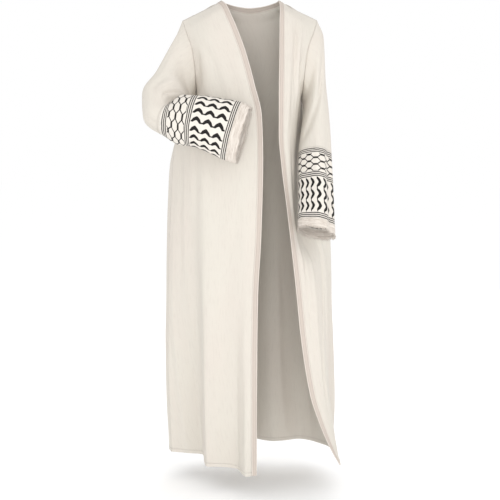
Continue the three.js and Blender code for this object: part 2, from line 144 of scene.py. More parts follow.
LEFT_FRONT_LINES: Mapping[str, Line] = {
    "opening": (
        (88, 5, 0), (90, -35, -20), (89, -62, -62), (87, -102, -186), (85, -122, -305), (85, -132, -393),
        (95, -138, -511), (107, -140, -600), (138, -140, -871), (154, -140, -1023), (182, -136, -1194),
        (207, -130, -1273), (233, -118, -1338), (259, -104, -1391), (280, -92, -1426),
    ),
    "beside_band": (
        (120, 5, -19), (118, -50, -45), (122, -90, -150), (120, -108, -262), (113, -119, -393),
        (120, -124, -511), (127, -122, -600), (140, -126, -715), (159, -134, -800), (171, -136, -871),
        (187, -134, -1023), (213, -124, -1194), (236, -110, -1273), (255, -92, -1338), (271, -73, -1391),
        (281, -59, -1423),
    ),
    "outer_fold": (
        (142, 5, -30), (139, -46, -60), (133, -86, -150), (129, -99, -262), (127, -99, -393),
        (133, -92, -511), (136, -88, -620), (150, -84, -715), (182, -114, -800), (194, -123, -871),
        (214, -118, -1054), (238, -103, -1194), (251, -86, -1273), (267, -62, -1360), (278, -42, -1422),
    ),
    "behind_sleeve": (
        (163, 5, -40), (159, -42, -75), (145, -80, -150), (139, -88, -262), (140, -68, -393),
        (142, -44, -511), (156, -46, -620), (184, -58, -715), (209, -78, -800), (219, -84, -871),
        (231, -86, -1054), (243, -76, -1194), (255, -60, -1273), (267, -40, -1360), (273, -24, -1421),
    ),
    "side_panel": (
        (185, 5, -50), (179, -36, -90), (156, -69, -155), (149, -68, -262), (150, -16, -393),
        (158, 2, -511), (190, -14, -620), (219, -28, -715), (231, -38, -800), (236, -42, -871),
        (240, -42, -1054), (246, -38, -1194), (255, -30, -1273), (264, -20, -1360), (269, -10, -1420),
    ),
    "side": LEFT_FRONT_ARMHOLE + LEFT_SIDE_SEAM,
}
BACK_LINES: Mapping[str, Line] = {
    "right_side": RIGHT_BACK_ARMHOLE + RIGHT_SIDE_SEAM,
    "right_flank": (
        (-181, 5, -48), (-176, 46, -84), (-164, 72, -150), (-161, 76, -262), (-224, 54, -400),
        (-252, 44, -520), (-261, 46, -705), (-268, 50, -926), (-272, 52, -1086), (-270, 58, -1215),
        (-262, 66, -1417),
    ),
    "right_blade": (
        (-150, 5, -34), (-146, 58, -64), (-136, 86, -150), (-138, 96, -262), (-188, 104, -420),
        (-216, 110, -600), (-226, 106, -900), (-232, 112, -1200), (-226, 118, -1417),
    ),
    "right_neck": (
        (-104, 5, -11), (-104, 58, -34), (-98, 92, -150), (-98, 106, -262), (-120, 124, -420),
        (-142, 144, -600), (-150, 156, -900), (-158, 172, -1200), (-156, 180, -1417),
    ),
    "right_centre": (
        (-78, 44, -18), (-68, 74, -56), (-56, 96, -150), (-52, 106, -262), (-56, 112, -420),
        (-68, 126, -600), (-74, 136, -900), (-80, 144, -1200), (-80, 146, -1417),
    ),
    "centre": (
        (0, 68, -33), (0, 84, -70), (0, 97, -150), (0, 106, -262), (0, 124, -420), (0, 144, -600),
        (-4, 160, -900), (-6, 178, -1200), (-6, 186, -1417),
    ),
    "left_centre": (
        (80, 44, -18), (69, 74, -56), (56, 96, -150), (52, 106, -262), (54, 114, -420), (62, 128, -600),
        (68, 134, -900), (76, 142, -1200), (78, 148, -1417),
    ),
    "left_neck": (
        (106, 5, -11), (106, 58, -34), (98, 92, -150), (96, 106, -262), (104, 122, -420),
        (130, 142, -600), (146, 158, -900), (158, 170, -1200), (160, 174, -1417),
    ),
    "left_blade": (
        (150, 5, -34), (146, 58, -64), (136, 86, -150), (132, 94, -262), (146, 96, -420),
        (196, 100, -600), (222, 106, -900), (232, 114, -1200), (236, 116, -1417),
    ),
    "left_flank": (
        (181, 5, -48), (176, 46, -84), (166, 72, -150), (165, 77, -262), (182, 70, -400), (220, 54, -580),
        (252, 44, -700), (259, 46, -926), (267, 48, -1086), (271, 50, -1247), (266, 54, -1417),
    ),
    "left_side": LEFT_BACK_ARMHOLE + LEFT_SIDE_SEAM,
}
NECK_OPENING: Line = (
    (88, 5, 0), (82, 24, -3), (64, 42, -8), (34, 55, -14), (0, 60, -17), (-34, 55, -14), (-64, 42, -8),
    (-81, 24, -3), (-86, 5, 0),
)


@dataclass(frozen=True)
class Ring:
    """One ring of a sleeve: its middle, and the way to the outside and to the front of the arm."""

    at: Triple
    over: Triple
    front: Triple


@dataclass(frozen=True)
class SleeveFold:
    """A soft fold of a sleeve between two angles (degrees), over a share of the whole sleeve."""

    from_angle: float
    to_angle: float
    start: float
    end: float
    height: float
    breadth: float


RIGHT_SLEEVE_RINGS = (
    Ring((-200, -9, -212), (-26, -2, 101), (-3, -60, 2)),
    Ring((-236, -61, -260), (-46, 6, 40), (2, -55, 24)),
    Ring((-275, -110, -304), (-46, 11, 7), (-6, -46, 30)),
    Ring((-273, -136, -342), (-41, -8, -20), (-6, -46, 30)),
    Ring((-246, -155, -364), (-14, -20, -38), (-8, -45, 26)),
    Ring((-204, -172, -363), (-9, -11, -71), (-12, -43, 10)),
    Ring((-150, -193, -368), (-14, -5, -74), (-11, -38, 4)),
    Ring((-102, -208, -380), (-18, -4, -78), (-9, -33, 2)),
    Ring((-51, -222, -396), (-23, -2, -83), (-7, -28, 1)),
    Ring((-15, -232, -409), (-21, -2, -80), (-7, -27, 1)),
)
LEFT_SLEEVE_RINGS = (
    Ring((193, 3, -211), (31, -3, 101), (0, -61, 0)),
    Ring((197, -12, -290), (34, -1, 44), (0, -67, 4)),
    Ring((198, -36, -357), (41, -3, 20), (0, -71, 15)),
    Ring((197, -64, -424), (47, 0, 3), (0, -71, 19)),
    Ring((195, -92, -487), (50, 1, -5), (0, -66, 24)),
    Ring((196, -126, -598), (52, 0, -6), (0, -63, 24)),
    Ring((197, -160, -700), (54, -2, -12), (0, -62, 21)),
)
RIGHT_SLEEVE_FOLDS = (
    SleeveFold(60, 100, 0.1, 0.5, -7, 16),
    SleeveFold(215, 160, 0.3, 0.56, -9, 18),
    SleeveFold(70, 84, 0.56, 1.1, 4, 14),
)
LEFT_SLEEVE_FOLDS = (
    SleeveFold(22, 150, 0.03, 0.52, -10, 15),
    SleeveFold(86, 82, 0.4, 1.1, 8, 15),
    SleeveFold(125, 120, 0.5, 1.1, -6, 20),
    SleeveFold(262, 268, 0.3, 1.1, 5, 20),
)
# Finer folds, laid over the ones above
RIGHT_SLEEVE_CREASES = (
    SleeveFold(30, 52, 0.02, 0.30, -3.0, 9),
    SleeveFold(120, 96, 0.08, 0.34, 2.6, 10),
    SleeveFold(150, 118, 0.24, 0.46, -3.4, 8),
    SleeveFold(248, 214, 0.05, 0.36, -3.2, 12),
    SleeveFold(300, 330, 0.10, 0.42, 2.4, 14),
    SleeveFold(178, 150, 0.34, 0.52, 3.0, 7),
    SleeveFold(20, 44, 0.36, 0.62, -2.2, 9),
)
LEFT_SLEEVE_CREASES = (
    SleeveFold(8, 62, 0.02, 0.30, 3.2, 8),
    SleeveFold(60, 122, 0.16, 0.42, 2.6, 9),
    SleeveFold(104, 92, 0.46, 0.66, -2.0, 6),
    SleeveFold(30, 36, 0.30, 0.64, 1.8, 10),
    SleeveFold(210, 236, 0.06, 0.40, -3.6, 12),
    SleeveFold(318, 296, 0.12, 0.56, 3.0, 14),
    SleeveFold(66, 62, 0.44, 1.14, 5.5, 9),
    SleeveFold(42, 40, 0.44, 1.14, -9.5, 9),
    SleeveFold(20, 18, 0.44, 1.14, 3.5, 10),
    SleeveFold(182, 196, 0.20, 0.60, -2.6, 12),
)


@dataclass(frozen=True)
class Crease:
    """A fold of a panel: (distance across, drop) points it runs through, its height and half-breadth.

    A negative height is a dip. The run fades out over `fade` of its length at each end; an end that lies
    beyond the cloth's edge runs off that edge.
    """

    path: Sequence[tuple[float, float]]
    height: float
    breadth: float
    fade: float = 0.3


RIGHT_FRONT_CREASES = (
    Crease(((46, 120), (40, 260), (52, 420)), 2.0, 16),
    Crease(((120, 90), (104, 220), (96, 360)), -2.2, 14),
    Crease(((150, 240), (128, 330), (112, 470)), 2.4, 12),
    Crease(((200, 330), (170, 430), (158, 620)), -3.0, 15),
    Crease(((252, 330), (232, 470), (236, 700)), 3.0, 14),
    Crease(((300, 360), (284, 600), (286, 980)), -3.4, 13),
    Crease(((66, 520), (62, 800), (70, 1180)), 1.3, 15),
    Crease(((104, 620), (98, 900), (112, 1250)), -1.6, 18),
    Crease(((150, 700), (146, 1000), (160, 1500)), 1.7, 14),
    Crease(((196, 700), (200, 1000), (226, 1500)), -2.6, 16),
    Crease(((250, 760), (262, 1100), (300, 1500)), 2.6, 15),
    Crease(((320, 560), (330, 1000), (372, 1500)), 3.2, 14),
    Crease(((352, 900), (356, 1150), (404, 1500)), -2.6, 12),
    Crease(((30, 900), (34, 1150), (44, 1500)), -1.4, 8),
    Crease(((58, 1000), (66, 1200), (86, 1500)), 1.8, 9),
    Crease(((44, 1120), (52, 1280), (66, 1500)), -1.2, 6),
)
LEFT_FRONT_CREASES = (
    Crease(((30, 60), (30, 250), (27, 470)), 3.0, 7),
    Crease(((52, 50), (50, 200), (46, 400)), -2.4, 6),
    Crease(((72, 40), (58, 130), (62, 300)), -5.2, 6),
    Crease(((88, 50), (72, 150), (80, 340)), 4.6, 6.5),
    Crease(((106, 110), (92, 240), (98, 430)), -4.4, 7),
    Crease(((50, 400), (48, 560), (50, 760)), -2.6, 8),
    Crease(((22, 560), (24, 760), (24, 1020)), -2.2, 5),
    Crease(((50, 680), (36, 860), (30, 1060)), -4.0, 6),
    Crease(((70, 640), (62, 900), (44, 1240)), 3.6, 7),
    Crease(((134, 660), (122, 860), (62, 1140), (46, 1320)), -5.2, 6),
    Crease(((150, 620), (142, 860), (104, 1240)), 4.6, 7),
    Crease(((176, 640), (166, 900), (134, 1160), (96, 1340)), -5.0, 6.5),
    Crease(((196, 420), (194, 700), (178, 1020)), 4.2, 8),
)
BACK_CREASES = (
    Crease(((60, 260), (88, 480), (96, 900)), 5.4, 14.4),
    Crease(((120, 130), (132, 330), (150, 640)), -4.8, 14.4),
    Crease(((164, 420), (178, 800), (190, 1500)), 4.8, 14.4),
    Crease(((212, 160), (216, 420), (222, 760)), 3.9, 16.2),
    Crease(((262, 560), (276, 900), (300, 1500)), -5.4, 13.5),
    Crease(((310, 240), (316, 520), (330, 860)), -3.6, 16.2),
    Crease(((352, 620), (372, 1000), (400, 1500)), 4.5, 13.5),
    Crease(((404, 180), (410, 420), (436, 760)), 4.2, 14.4),
    Crease(((440, 700), (470, 1000), (506, 1500)), -4.8, 12.6),
    Crease(((470, 240), (492, 480), (530, 800)), -4.5, 13.5),
    Crease(((520, 640), (560, 1000), (600, 1500)), 5.4, 13.5),
    Crease(((90, 900), (100, 1150), (112, 1500)), -4.8, 11.7),
    Crease(((44, 640), (40, 1000), (38, 1500)), -4.2, 9.9),
    Crease(((600, 700), (640, 1000), (690, 1500)), -4.5, 11.7),
)


# Soft waves all over the panels: millimetres across, millimetres down, height and turn
SOFT_WAVES = ((170.0, 900.0, 0.9, 0.4), (96.0, 520.0, 0.5, 2.1), (57.0, 340.0, 0.28, 4.4))

# ------------------------------------------------------------------ curves and forms


def smooth_step(value: np.ndarray) -> np.ndarray:
    """Ease from 0 to 1 over the same range, flat beyond it."""
    t = np.clip(value, 0.0, 1.0)
    return t * t * (3.0 - 2.0 * t)


def distances_along(points: np.ndarray) -> np.ndarray:
    """How far along a row of points each one lies."""
    return np.concatenate([[0.0], np.cumsum(np.linalg.norm(np.diff(points, axis=0), axis=1))])


class SmoothCurve:
    """A smooth curve through points at given positions along it, that doesn't overshoot them."""

    def __init__(self, positions: np.ndarray, points: np.ndarray) -> None:
        """Work out the slope at each point.

        Args:
            positions: How far along the curve each point is, in rising order.
            points: One row of numbers for each position.
        """
        self.positions = np.asarray(positions, float)
        self.points = np.asarray(points, float)
        slopes = np.diff(self.points, axis=0) / np.diff(self.positions)[:, None]
        before = np.vstack([slopes[:1], slopes])
        after = np.vstack([slopes, slopes[-1:]])
        both = before + after
        steady = before * after > 0
        self.tangents = np.where(steady, 2 * before * after / np.where(steady, both, 1.0), 0.0)

    def at(self, where: np.ndarray) -> np.ndarray:
        """Points of the curve.

        Args:
            where: Positions along the curve, held to its two ends.

        Returns:
            One row for each position.
        """
        held = np.clip(where, self.positions[0], self.positions[-1])
        span = np.clip(np.searchsorted(self.positions, held) - 1, 0, len(self.positions) - 2)
        length = np.diff(self.positions)[span]
        t = ((held - self.positions[span]) / length)[:, None]
        length = length[:, None]
        return (
            self.points[span] * (1 + 2 * t) * (1 - t) ** 2
            + self.tangents[span] * length * t * (1 - t) ** 2
            + self.points[span + 1] * t * t * (3 - 2 * t)
            + self.tangents[span + 1] * length * t * t * (t - 1)
        )


def grid_normals(grid: np.ndarray) -> np.ndarray:
    """The outward side of each point of a grid whose columns run to the wearer's left.

    Args:
        grid: Points by row and column.

    Returns:
        Unit vectors by row and column.
    """
    down = np.gradient(grid, axis=0)
    across = np.gradient(grid, axis=1)
    normals = np.cross(down, across)
    return normals / np.maximum(np.linalg.norm(normals, axis=2, keepdims=True), 1e-9)


@dataclass
class Cloth:
    """A sheet laid on its form: points in millimetres, cloth coordinates, and the thickness share."""

    points: np.ndarray
    uv: np.ndarray
    thickness: np.ndarray


@dataclass(frozen=True)
class PanelForm:
    """The form of a front or of the back, from its lines down the cloth."""

    lines: Mapping[str, Line]
    banded: bool
    creases: Sequence[Crease]
    outward: int
    edge_rest: float = 26.0

    def surface(self, shares: np.ndarray, columns: int, start: float, stop: float) -> Cloth:
        """Lay a grid on the form.

        Args:
            shares: The share of the drop of each row, from shoulder 0 to hem 1.
            columns: How many columns the grid has.
            start: Distance across from the first line at which the grid starts.
            stop: Distance at which it ends, or 0 for the last line.

        Returns:
            The sheet, with cloth coordinates (distance across, height above the hem).
        """
        drops = []
        for line in self.lines.values():
            points = np.array(line, float)
            depth = points[0, 2] - points[:, 2]
            drops.append(SmoothCurve(depth, points).at(shares * depth[-1]))
        knots_by_row = np.stack(drops, axis=1)
        points = np.empty((len(shares), columns, 3))
        across = np.empty((len(shares), columns))
        widths = np.empty(len(shares))
        for r, knots in enumerate(knots_by_row):
            if self.banded:
                to_seam = knots[1] - knots[0]
                seam = knots[0] + to_seam * (BAND_WIDTH / np.linalg.norm(to_seam))
                knots = np.insert(knots, 1, seam, axis=0)
            distances = distances_along(knots)
            widths[r] = distances[-1]
            across[r] = np.linspace(start, stop if stop else distances[-1] - SEAM_GAP / 2, columns)
            points[r] = SmoothCurve(distances, knots).at(across[r])
        plain = grid_normals(points) * self.outward
        lift = self.creasing(across, -points[:, :, 2], widths[:, None])
        points = points + plain * lift[:, :, None]
        steps = np.linalg.norm(np.diff(points, axis=0), axis=2)
        down = np.concatenate([np.zeros((1, columns)), np.cumsum(steps, axis=0)])
        above_hem = down[-1:] - down
        hem = smooth_step((HEM_DEPTH - above_hem) / 2.0 + 0.5)
        uv = np.stack([across, above_hem], axis=2)
        return Cloth(points, uv, 0.5 + 0.5 * hem)

    def creasing(self, across: np.ndarray, drop: np.ndarray, widths: np.ndarray) -> np.ndarray:
        """The height of all creases together, at rest towards the side seams, armholes and shoulders.

        Args:
            across: Millimetres across the cloth, by row and column.
            drop: Millimetres down, by row and column.
            widths: The whole width of the cloth, one for each row.

        Returns:
            Millimetres outward, by row and column.
        """
        lift = np.zeros_like(across)
        for crease in self.creases:
            path = np.array(crease.path, float)
            flat = drop.ravel()
            middle = SmoothCurve(path[:, 1], path[:, :1]).at(flat)[:, 0].reshape(drop.shape)
            run = (drop - path[0, 1]) / (path[-1, 1] - path[0, 1])
            ends = smooth_step(run / crease.fade) * smooth_step((1 - run) / crease.fade)
            off = (across - middle) / crease.breadth
            lift += crease.height * ends * np.exp(-off * off)
        for span, fall, height, turn in SOFT_WAVES:
            sway = 1.4 * np.sin(drop / fall * math.tau + turn)
            lift += height * np.sin(across / span * math.tau + turn + sway)
        from_side = (widths - across) / self.edge_rest
        if not self.banded:
            from_side = np.minimum(from_side, across / self.edge_rest)
        return lift * smooth_step(from_side) * smooth_step((drop - drop[:1]) / 60.0)


def down_shares(length: float, row: float, hem_row: float, hem_depth: float) -> np.ndarray:
    """Shares of the drop for even rows that lie closer together along the hem.

    Args:
        length: The whole drop in millimetres.
        row: The distance between rows.
        hem_row: The distance between rows along the hem.
        hem_depth: How deep the closer rows reach.

    Returns:
        Shares from 0 to 1.
    """
    rows = np.linspace(0.0, 1.0 - hem_depth / length, int((length - hem_depth) / row))
    hem_rows = np.linspace(1.0 - hem_depth / length, 1.0, int(hem_depth / hem_row) + 1)
    return np.concatenate([rows, hem_rows[1:]])


@dataclass(frozen=True)
class SleeveForm:
    """The form of a sleeve from armhole to mouth, by angle round it and by distance along it."""

    side: Side
    front_armhole: Line
    back_armhole: Line
    underarm: Triple
    rings: Sequence[Ring]
    folds: Sequence[SleeveFold]

    def armhole(self, angles: np.ndarray) -> np.ndarray:
        """Points of the armhole: the front half at 0 to 180 degrees, the back half at 180 to 360.

        Args:
            angles: Degrees round the armhole.

        Returns:
            One point for each angle.
        """
        front = np.array((*self.front_armhole, self.underarm), float)
        rear = np.array((*self.back_armhole, self.underarm), float)
        turn = np.mod(angles, 360.0)
        in_front = turn <= 180.0
        share = np.where(in_front, turn, 360.0 - turn) / 180.0
        halves = []
        for half in (front, rear):
            distances = distances_along(half)
            halves.append(SmoothCurve(distances, half).at(share * distances[-1]))
        return np.where(in_front[:, None], halves[0], halves[1])

    def centres(self) -> np.ndarray:
        """The middle of the armhole and of each ring."""
        quarters = self.armhole(np.array([0.0, 90.0, 180.0, 270.0]))
        return np.vstack([quarters.mean(axis=0), [ring.at for ring in self.rings]])

    def length(self) -> float:
        """The length of the sleeve along its middle."""
        return float(distances_along(self.centres())[-1])

    def surface(self, angles: np.ndarray, along: np.ndarray) -> np.ndarray:
        """Points of the sleeve.

        Args:
            angles: Degrees round the sleeve, one for each column.
            along: Millimetres along the sleeve from the armhole, one for each row.

        Returns:
            Points by row and column.
        """
        centres = self.centres()
        distances = distances_along(centres)
        start = self.armhole(angles)
        underarm = (1.0 - np.cos(np.radians(angles))) / 2
        start[:, 0] += self.side.value * (SEAM_GAP + UNDERARM_CLEARANCE * underarm**3)
        shares = along / distances[-1]
        middle = SmoothCurve(distances, centres).at(along)
        grid = np.empty((len(along), len(angles), 3))
        for c, angle in enumerate(angles):
            turn = math.radians(angle)
            knots = [start[c]]
            for ring in self.rings:
                reach = np.array(ring.over) * math.cos(turn) + np.array(ring.front) * math.sin(turn)
                knots.append(np.array(ring.at) + reach)
            grid[:, c] = SmoothCurve(distances, np.array(knots)).at(along)
        outward = grid - middle[:, None]
        outward /= np.linalg.norm(outward, axis=2, keepdims=True)
        for fold in self.folds:
            run = (shares - fold.start) / (fold.end - fold.start)
            rise = np.where((run > 0) & (run < 1), np.sin(np.clip(run, 0, 1) * math.pi), 0.0)
            middle_angle = fold.from_angle + (fold.to_angle - fold.from_angle) * run
            off = (np.mod(angles[None, :] - middle_angle[:, None] + 180.0, 360.0) - 180.0) / fold.breadth
            grid += outward * (fold.height * rise[:, None] * np.exp(-off * off))[:, :, None]
        return grid


# ------------------------------------------------------------------ sheets of cloth


class Sheet:
    """Makes one sheet of cloth from a flat grid laid on a form."""

    def __init__(self, name: str, cloth: Cloth, thickness: float, joined: bool = False) -> None:
        """Lay the grid.

        Args:
            name: The piece's name.
            cloth: Where each point of the grid goes.
            thickness: The cloth's full thickness at a share of 1, in millimetres.
            joined: Whether the first and last column are sewn into a tube.
        """
        rows, columns = cloth.points.shape[:2]
        mesh = bpy.data.meshes.new(name)
        bm = bmesh.new()
        bm.loops.layers.uv.new(CLOTH_UV)
        bmesh.ops.create_grid(bm, x_segments=columns - 1, y_segments=rows - 1, size=0.5, calc_uvs=True)
        bm.to_mesh(mesh)
        bm.free()
        self.lay(mesh, cloth)
        self.piece = bpy.data.objects.new(name, mesh)
        bpy.context.scene.collection.objects.link(self.piece)
        if joined:
            self.join_seam(mesh)
        self.thicken(thickness)

    def lay(self, mesh: bpy.types.Mesh, cloth: Cloth) -> None:
        """Move the flat grid's points and cloth coordinates to their places.

        Args:
            mesh: The flat grid.
            cloth: Where each point of the grid goes.
        """
        rows, columns = cloth.points.shape[:2]
        flat = np.empty(len(mesh.vertices) * 3)
        mesh.vertices.foreach_get("co", flat)
        flat = flat.reshape(-1, 3)
        column = np.rint((flat[:, 0] + 0.5) * (columns - 1)).astype(int)
        row = np.rint((0.5 - flat[:, 1]) * (rows - 1)).astype(int)
        mesh.vertices.foreach_set("co", (cloth.points[row, column] * MM).ravel())
        corners = np.empty(len(mesh.loops), dtype=np.int32)
        mesh.loops.foreach_get("vertex_index", corners)
        uv = cloth.uv[row[corners], column[corners]] * MM
        mesh.uv_layers[CLOTH_UV].data.foreach_set("uv", uv.ravel())
        self.weights = cloth.thickness[row, column]
        mesh.polygons.foreach_set("use_smooth", np.ones(len(mesh.polygons), dtype=bool))
        mesh.update()

    def join_seam(self, mesh: bpy.types.Mesh) -> None:
        """Sew the first column to the last.

        Args:
            mesh: The tube, with its two edges in the same place.
        """
        attribute = mesh.attributes.new("share", "FLOAT", "POINT")
        attribute.data.foreach_set("value", self.weights)
        bm = bmesh.new()
        bm.from_mesh(mesh)
        bmesh.ops.remove_doubles(bm, verts=bm.verts, dist=1e-5)
        bm.to_mesh(mesh)
        bm.free()
        kept = np.empty(len(mesh.vertices))
        mesh.attributes["share"].data.foreach_get("value", kept)
        mesh.attributes.remove(mesh.attributes["share"])
        self.weights = kept

    def thicken(self, thickness: float) -> None:
        """Give the sheet its thickness, with the thinner parts by their share.

        Args:
            thickness: The cloth's full thickness in millimetres.
        """
        group = self.piece.vertex_groups.new(name="thickness")
        for share in np.unique(np.round(self.weights, 2)):
            members = np.nonzero(np.round(self.weights, 2) == share)[0]
            group.add([int(i) for i in members], float(share), "REPLACE")
        solid = self.piece.modifiers.new("thickness", "SOLIDIFY")
        solid.thickness = thickness * MM
        solid.offset = 0.0
        solid.vertex_group = group.name
        solid.use_rim = True

    def area(self) -> float:
        """One layer's area in square metres."""
        return sum(face.area for face in self.piece.data.polygons)


# ------------------------------------------------------------------ shader maths


class Value:
    """A number on a node's socket, with arithmetic that adds Math nodes."""

    def __init__(self, shader: "Shader", socket: bpy.types.NodeSocket) -> None:
        """Wrap a socket of a shader."""
        self.shader = shader
        self.socket = socket

    def math(self, operation: str, *others: Any) -> "Value":
        """Add one Math node that works on this number and up to two others."""
        inputs = dict(enumerate((self, *others)))
        return self.shader.value("ShaderNodeMath", {"operation": operation}, inputs)

    def __add__(self, other: Any) -> "Value":
        """This plus other."""
        return self.math("ADD", other)

    __radd__ = __add__

    def __sub__(self, other: Any) -> "Value":
        """This less other."""
        return self.math("SUBTRACT", other)

    def __rsub__(self, other: Any) -> "Value":
        """Other less this."""
        return self.shader.value("ShaderNodeMath", {"operation": "SUBTRACT"}, {0: other, 1: self})

    def __mul__(self, other: Any) -> "Value":
        """This times other."""
        return self.math("MULTIPLY", other)

    __rmul__ = __mul__

    def __truediv__(self, other: Any) -> "Value":
        """This over other."""
        return self.math("DIVIDE", other)

    def __abs__(self) -> "Value":
        """The size of this number."""
        return self.math("ABSOLUTE")

    def floor(self) -> "Value":
        """The whole number at or below this."""
        return self.math("FLOOR")

    def fraction(self) -> "Value":
        """What this is above a whole number."""
        return self.math("FRACT")

    def wave(self) -> "Value":
        """The sine of this."""
        return self.math("SINE")

    def most(self, other: Any) -> "Value":
        """The larger of the two."""
        return self.math("MAXIMUM", other)

    def eased(self, low: float, high: float) -> "Value":
        """Ease from 0 at low to 1 at high, or down again where low is above high.

        Args:
            low: Where the result is 0.
            high: Where it is 1.

        Returns:
            The eased number.
        """
        settings = {"interpolation_type": "SMOOTHSTEP"}
        if low <= high:
            ends = {"Value": self, "From Min": low, "From Max": high}
            return self.shader.value("ShaderNodeMapRange", settings, ends)
        ends = {"Value": self, "From Min": high, "From Max": low, "To Min": 1.0, "To Max": 0.0}
        return self.shader.value("ShaderNodeMapRange", settings, ends)

    def within(self, low: float, high: float, soft: float) -> "Value":
        """1 between low and high, with soft edges."""
        return self.eased(low - soft, low + soft) * self.eased(high + soft, high - soft)

    def from_middle(self, pitch: float) -> "Value":
        """How far this is from the nearest whole multiple of pitch, with its sign."""
        return ((self / pitch + 0.5).fraction() - 0.5) * pitch


class Shader:
    """Builds one material out of nodes."""

    def __init__(self, name: str) -> None:
        """Start an empty material.

        Args:
            name: The material's name.
        """
        self.material = bpy.data.materials.new(name)
        self.material.use_nodes = True
        self.material.node_tree.nodes.clear()

    def node(self, kind: str, settings: Mapping[str, Any], inputs: Mapping[Any, Any]) -> bpy.types.Node:
        """Add a node.

        Args:
            kind: The node's type.
            settings: Its own settings, which are set first.
            inputs: A value or link for each socket, by name or by place.

        Returns:
            The node.
        """
        node = self.material.node_tree.nodes.new(kind)
        for key, setting in settings.items():
            setattr(node, key, setting)
        for key, given in inputs.items():
            socket = node.inputs[key]
            source = given.socket if isinstance(given, Value) else given
            if isinstance(source, bpy.types.NodeSocket):
                self.material.node_tree.links.new(source, socket)
            else:
                socket.default_value = source
        return node

    def value(self, kind: str, settings: Mapping[str, Any], inputs: Mapping[Any, Any]) -> Value:
        """Add a node and wrap its first output."""
        return Value(self, self.node(kind, settings, inputs).outputs[0])

    def cloth_coordinates(self) -> tuple[Value, Value]:
        """Distance across the cloth and distance up or along it, in metres.

        Returns:
            The two distances.
        """
        uv = self.node("ShaderNodeUVMap", {"uv_map": CLOTH_UV}, {})
        parts = self.node("ShaderNodeSeparateXYZ", {}, {0: uv.outputs[0]})
        return Value(self, parts.outputs[0]), Value(self, parts.outputs[1])

    def noise(self, across: Any, along: Any, detail: float, depth: Any = 0.0) -> Value:
        """Cloudy noise from 0 to 1 over two distances that are already scaled.

        Args:
            across: Distance across, times cells for each metre.
            along: Distance along, times cells for each metre.
            detail: How many finer layers are added.
            depth: Another place in the same noise.

        Returns:
            The noise.
        """
        place = self.node("ShaderNodeCombineXYZ", {}, {0: across, 1: along, 2: depth})
        inputs = {"Vector": place.outputs[0], "Scale": 1.0, "Detail": detail, "Roughness": 0.55}
        return self.value("ShaderNodeTexNoise", {}, inputs)

    def blend(self, factor: Value, below: Any, above: Any) -> bpy.types.NodeSocket:
        """Mix two colours, each three numbers or a socket.

        Args:
            factor: The share of the upper colour.
            below: The colour at 0.
            above: The colour at 1.

        Returns:
            The mixed colour's socket.
        """
        colours = [
            (*colour, 1.0) if isinstance(colour, tuple) else colour for colour in (below, above)
        ]
        inputs = {"Factor": factor, 6: colours[0], 7: colours[1]}
        return self.node("ShaderNodeMix", {"data_type": "RGBA"}, inputs).outputs[2]

    def finish(
        self, colour: Any, roughness: Any, height: Value, relief: float, sheen: float
    ) -> bpy.types.Material:
        """Join the cloth shader.

        Args:
            colour: The base colour's socket.
            roughness: The roughness, as a number or a Value.
            height: The relief in units of one relief depth.
            relief: How deep one unit of height is, in metres.
            sheen: The weight of the nap's sheen.

        Returns:
            The finished material.
        """
        bump = self.node(
            "ShaderNodeBump", {}, {"Strength": 1.0, "Distance": relief, "Height": height}
        )
        inputs = {
            "Base Color": colour,
            "Roughness": roughness,
            "Normal": bump.outputs[0],
            "Sheen Weight": sheen,
            "Sheen Roughness": 0.45,
            "Specular IOR Level": 0.25,
        }
        cloth = self.node("ShaderNodeBsdfPrincipled", {}, inputs)
        self.node("ShaderNodeOutputMaterial", {}, {0: cloth.outputs[0]})
        return self.material


Colour = tuple[float, float, float]


def linear(red: int, green: int, blue: int) -> Colour:
    """A colour that is named by its screen values, as the shader takes it."""
    parts = [value / 255 for value in (red, green, blue)]
    return tuple(p / 12.92 if p <= 0.04045 else ((p + 0.055) / 1.055) ** 2.4 for p in parts)


def darker(colour: Colour, share: float) -> Colour:
    """A colour with its light cut down to a share."""
    return tuple(part * share for part in colour)


# ------------------------------------------------------------------ finishes


@dataclass(frozen=True)
class CreamCrepe:
    """Matte crepe with faint upright crinkles, and a line of stitches at a height above its edge."""

    name: str
    stitches_at: float
    light: Colour = linear(213, 208, 198)
    warm: Colour = linear(213, 204, 195)

    def build(self) -> bpy.types.Material:
        """Make the material.

        Returns:
            The material.
        """
        shader = Shader(self.name)
        across, up = shader.cloth_coordinates()
        patches = shader.noise(across * 7, up * 2.2, 3.0)
        crinkle = shader.noise(across * 210, up * 24, 4.0)
        finer = shader.noise(across * 620, up * 110, 2.0, 3.0)
        grain = shader.noise(across * 2600, up * 2600, 1.0, 7.0)
        colour = shader.blend(patches.eased(0.30, 0.70) * 0.6, self.light, self.warm)
        shade = (1 - crinkle.eased(0.30, 0.50)) * 0.22 + (1 - grain.eased(0.3, 0.7)) * 0.10
        colour = shader.blend(shade, colour, darker(self.warm, 0.82))
        off = abs(up - self.stitches_at)
        groove = off.eased(0.0022, 0.0004)
        dashes = groove * abs(across.from_middle(0.0034)).eased(0.0014, 0.0009)
        # Painted shade in the groove along the stitch line, a little less on the raised stitches.
        colour = shader.blend(groove * 0.30 - dashes * 0.18, colour, darker(self.warm, 0.62))
        height = crinkle * 0.55 + finer * 0.30 + grain * 0.15 - groove * 0.9 + dashes * 0.7
        roughness = 0.80 + patches * 0.10
        return shader.finish(colour, roughness, height, 0.0011, 0.10)


